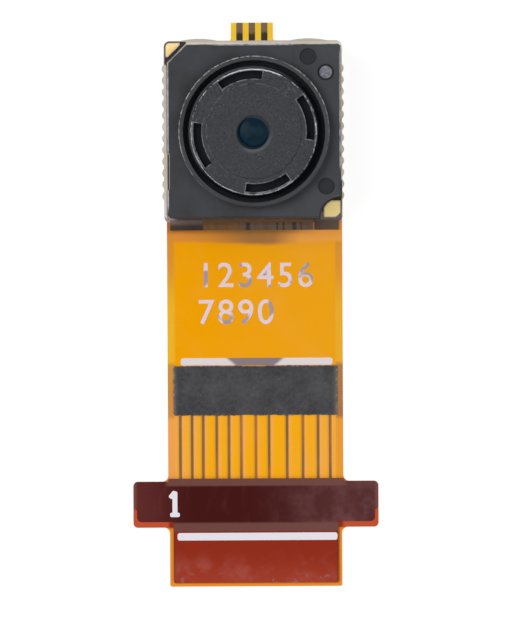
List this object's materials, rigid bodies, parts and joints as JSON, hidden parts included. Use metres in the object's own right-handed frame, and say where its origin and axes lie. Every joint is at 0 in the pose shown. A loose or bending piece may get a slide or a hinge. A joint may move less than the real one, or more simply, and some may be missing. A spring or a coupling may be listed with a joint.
{
  "type": "camera module",
  "caption": "Compact fixed-focus camera module: square lens holder on a small rigid board, with a flat flexible tail that ends in an eared plug.",
  "frame": {"origin": "on the optical axis, on the rear face of the rigid board", "axes": "+Z forward along the optical axis, +Y away from the plug end along the tail, +X to the right seen from the front"},
  "size_m": [0.012, 0.0279, 0.0045],
  "materials": {
    "laminate": "woven-glass laminate, cut edge",
    "mask": "matt black solder mask",
    "gold": "matt gold plating",
    "coverlay": "clear amber film, semi-gloss",
    "film": "amber film, semi-gloss",
    "copper": "rolled copper under film",
    "bead": "brown epoxy",
    "stiffener": "red-brown film, satin",
    "ear_film": "dark maroon film, satin",
    "tape": "speckled dark grey tape",
    "ink": "white ink",
    "silver_glue": "silver-filled epoxy",
    "silicon": "polished silicon",
    "ceramic": "matt ceramic",
    "tin": "matt tin",
    "pale_glue": "pale epoxy",
    "holder": "fine moulded texture",
    "barrel": "fine spark-eroded texture",
    "clear_glue": "clear epoxy",
    "filter": "coated glass",
    "dark_glue": "black epoxy",
    "black_film": "matt black film",
    "lens": "coated optical plastic"
  },
  "bodies": {
    "root": {"rear_board": "laminate", "rear_coverlay": "coverlay", "contact_fingers": "gold", "base_film": "film", "ground_pour": "copper", "covered_traces": "copper", "tab_traces": "copper", "front_coverlay": "coverlay", "front_board": "laminate", "solder_mask": "mask", "corner_pads": "gold", "edge_glue": "bead", "zif_stiffener": "stiffener", "cover_film": "ear_film", "tape_patch": "tape", "ink_lines": "ink", "die_glue": "silver_glue", "image_sensor": "silicon", "bond_pads": "gold", "bond_wires": "gold", "capacitors": "ceramic", "capacitor_ends": "tin", "holder_glue": "pale_glue", "lens_holder": "holder", "filter_glue": "clear_glue", "ir_filter": "filter", "thread_glue": "dark_glue", "lens_barrel": "barrel", "retainer_ring": "black_film", "fourth_lens": "lens", "rear_spacer": "black_film", "third_lens": "lens", "front_spacer": "black_film", "second_lens": "lens", "stop_ring": "black_film", "first_lens": "lens"}
  },
  "joints": []
}
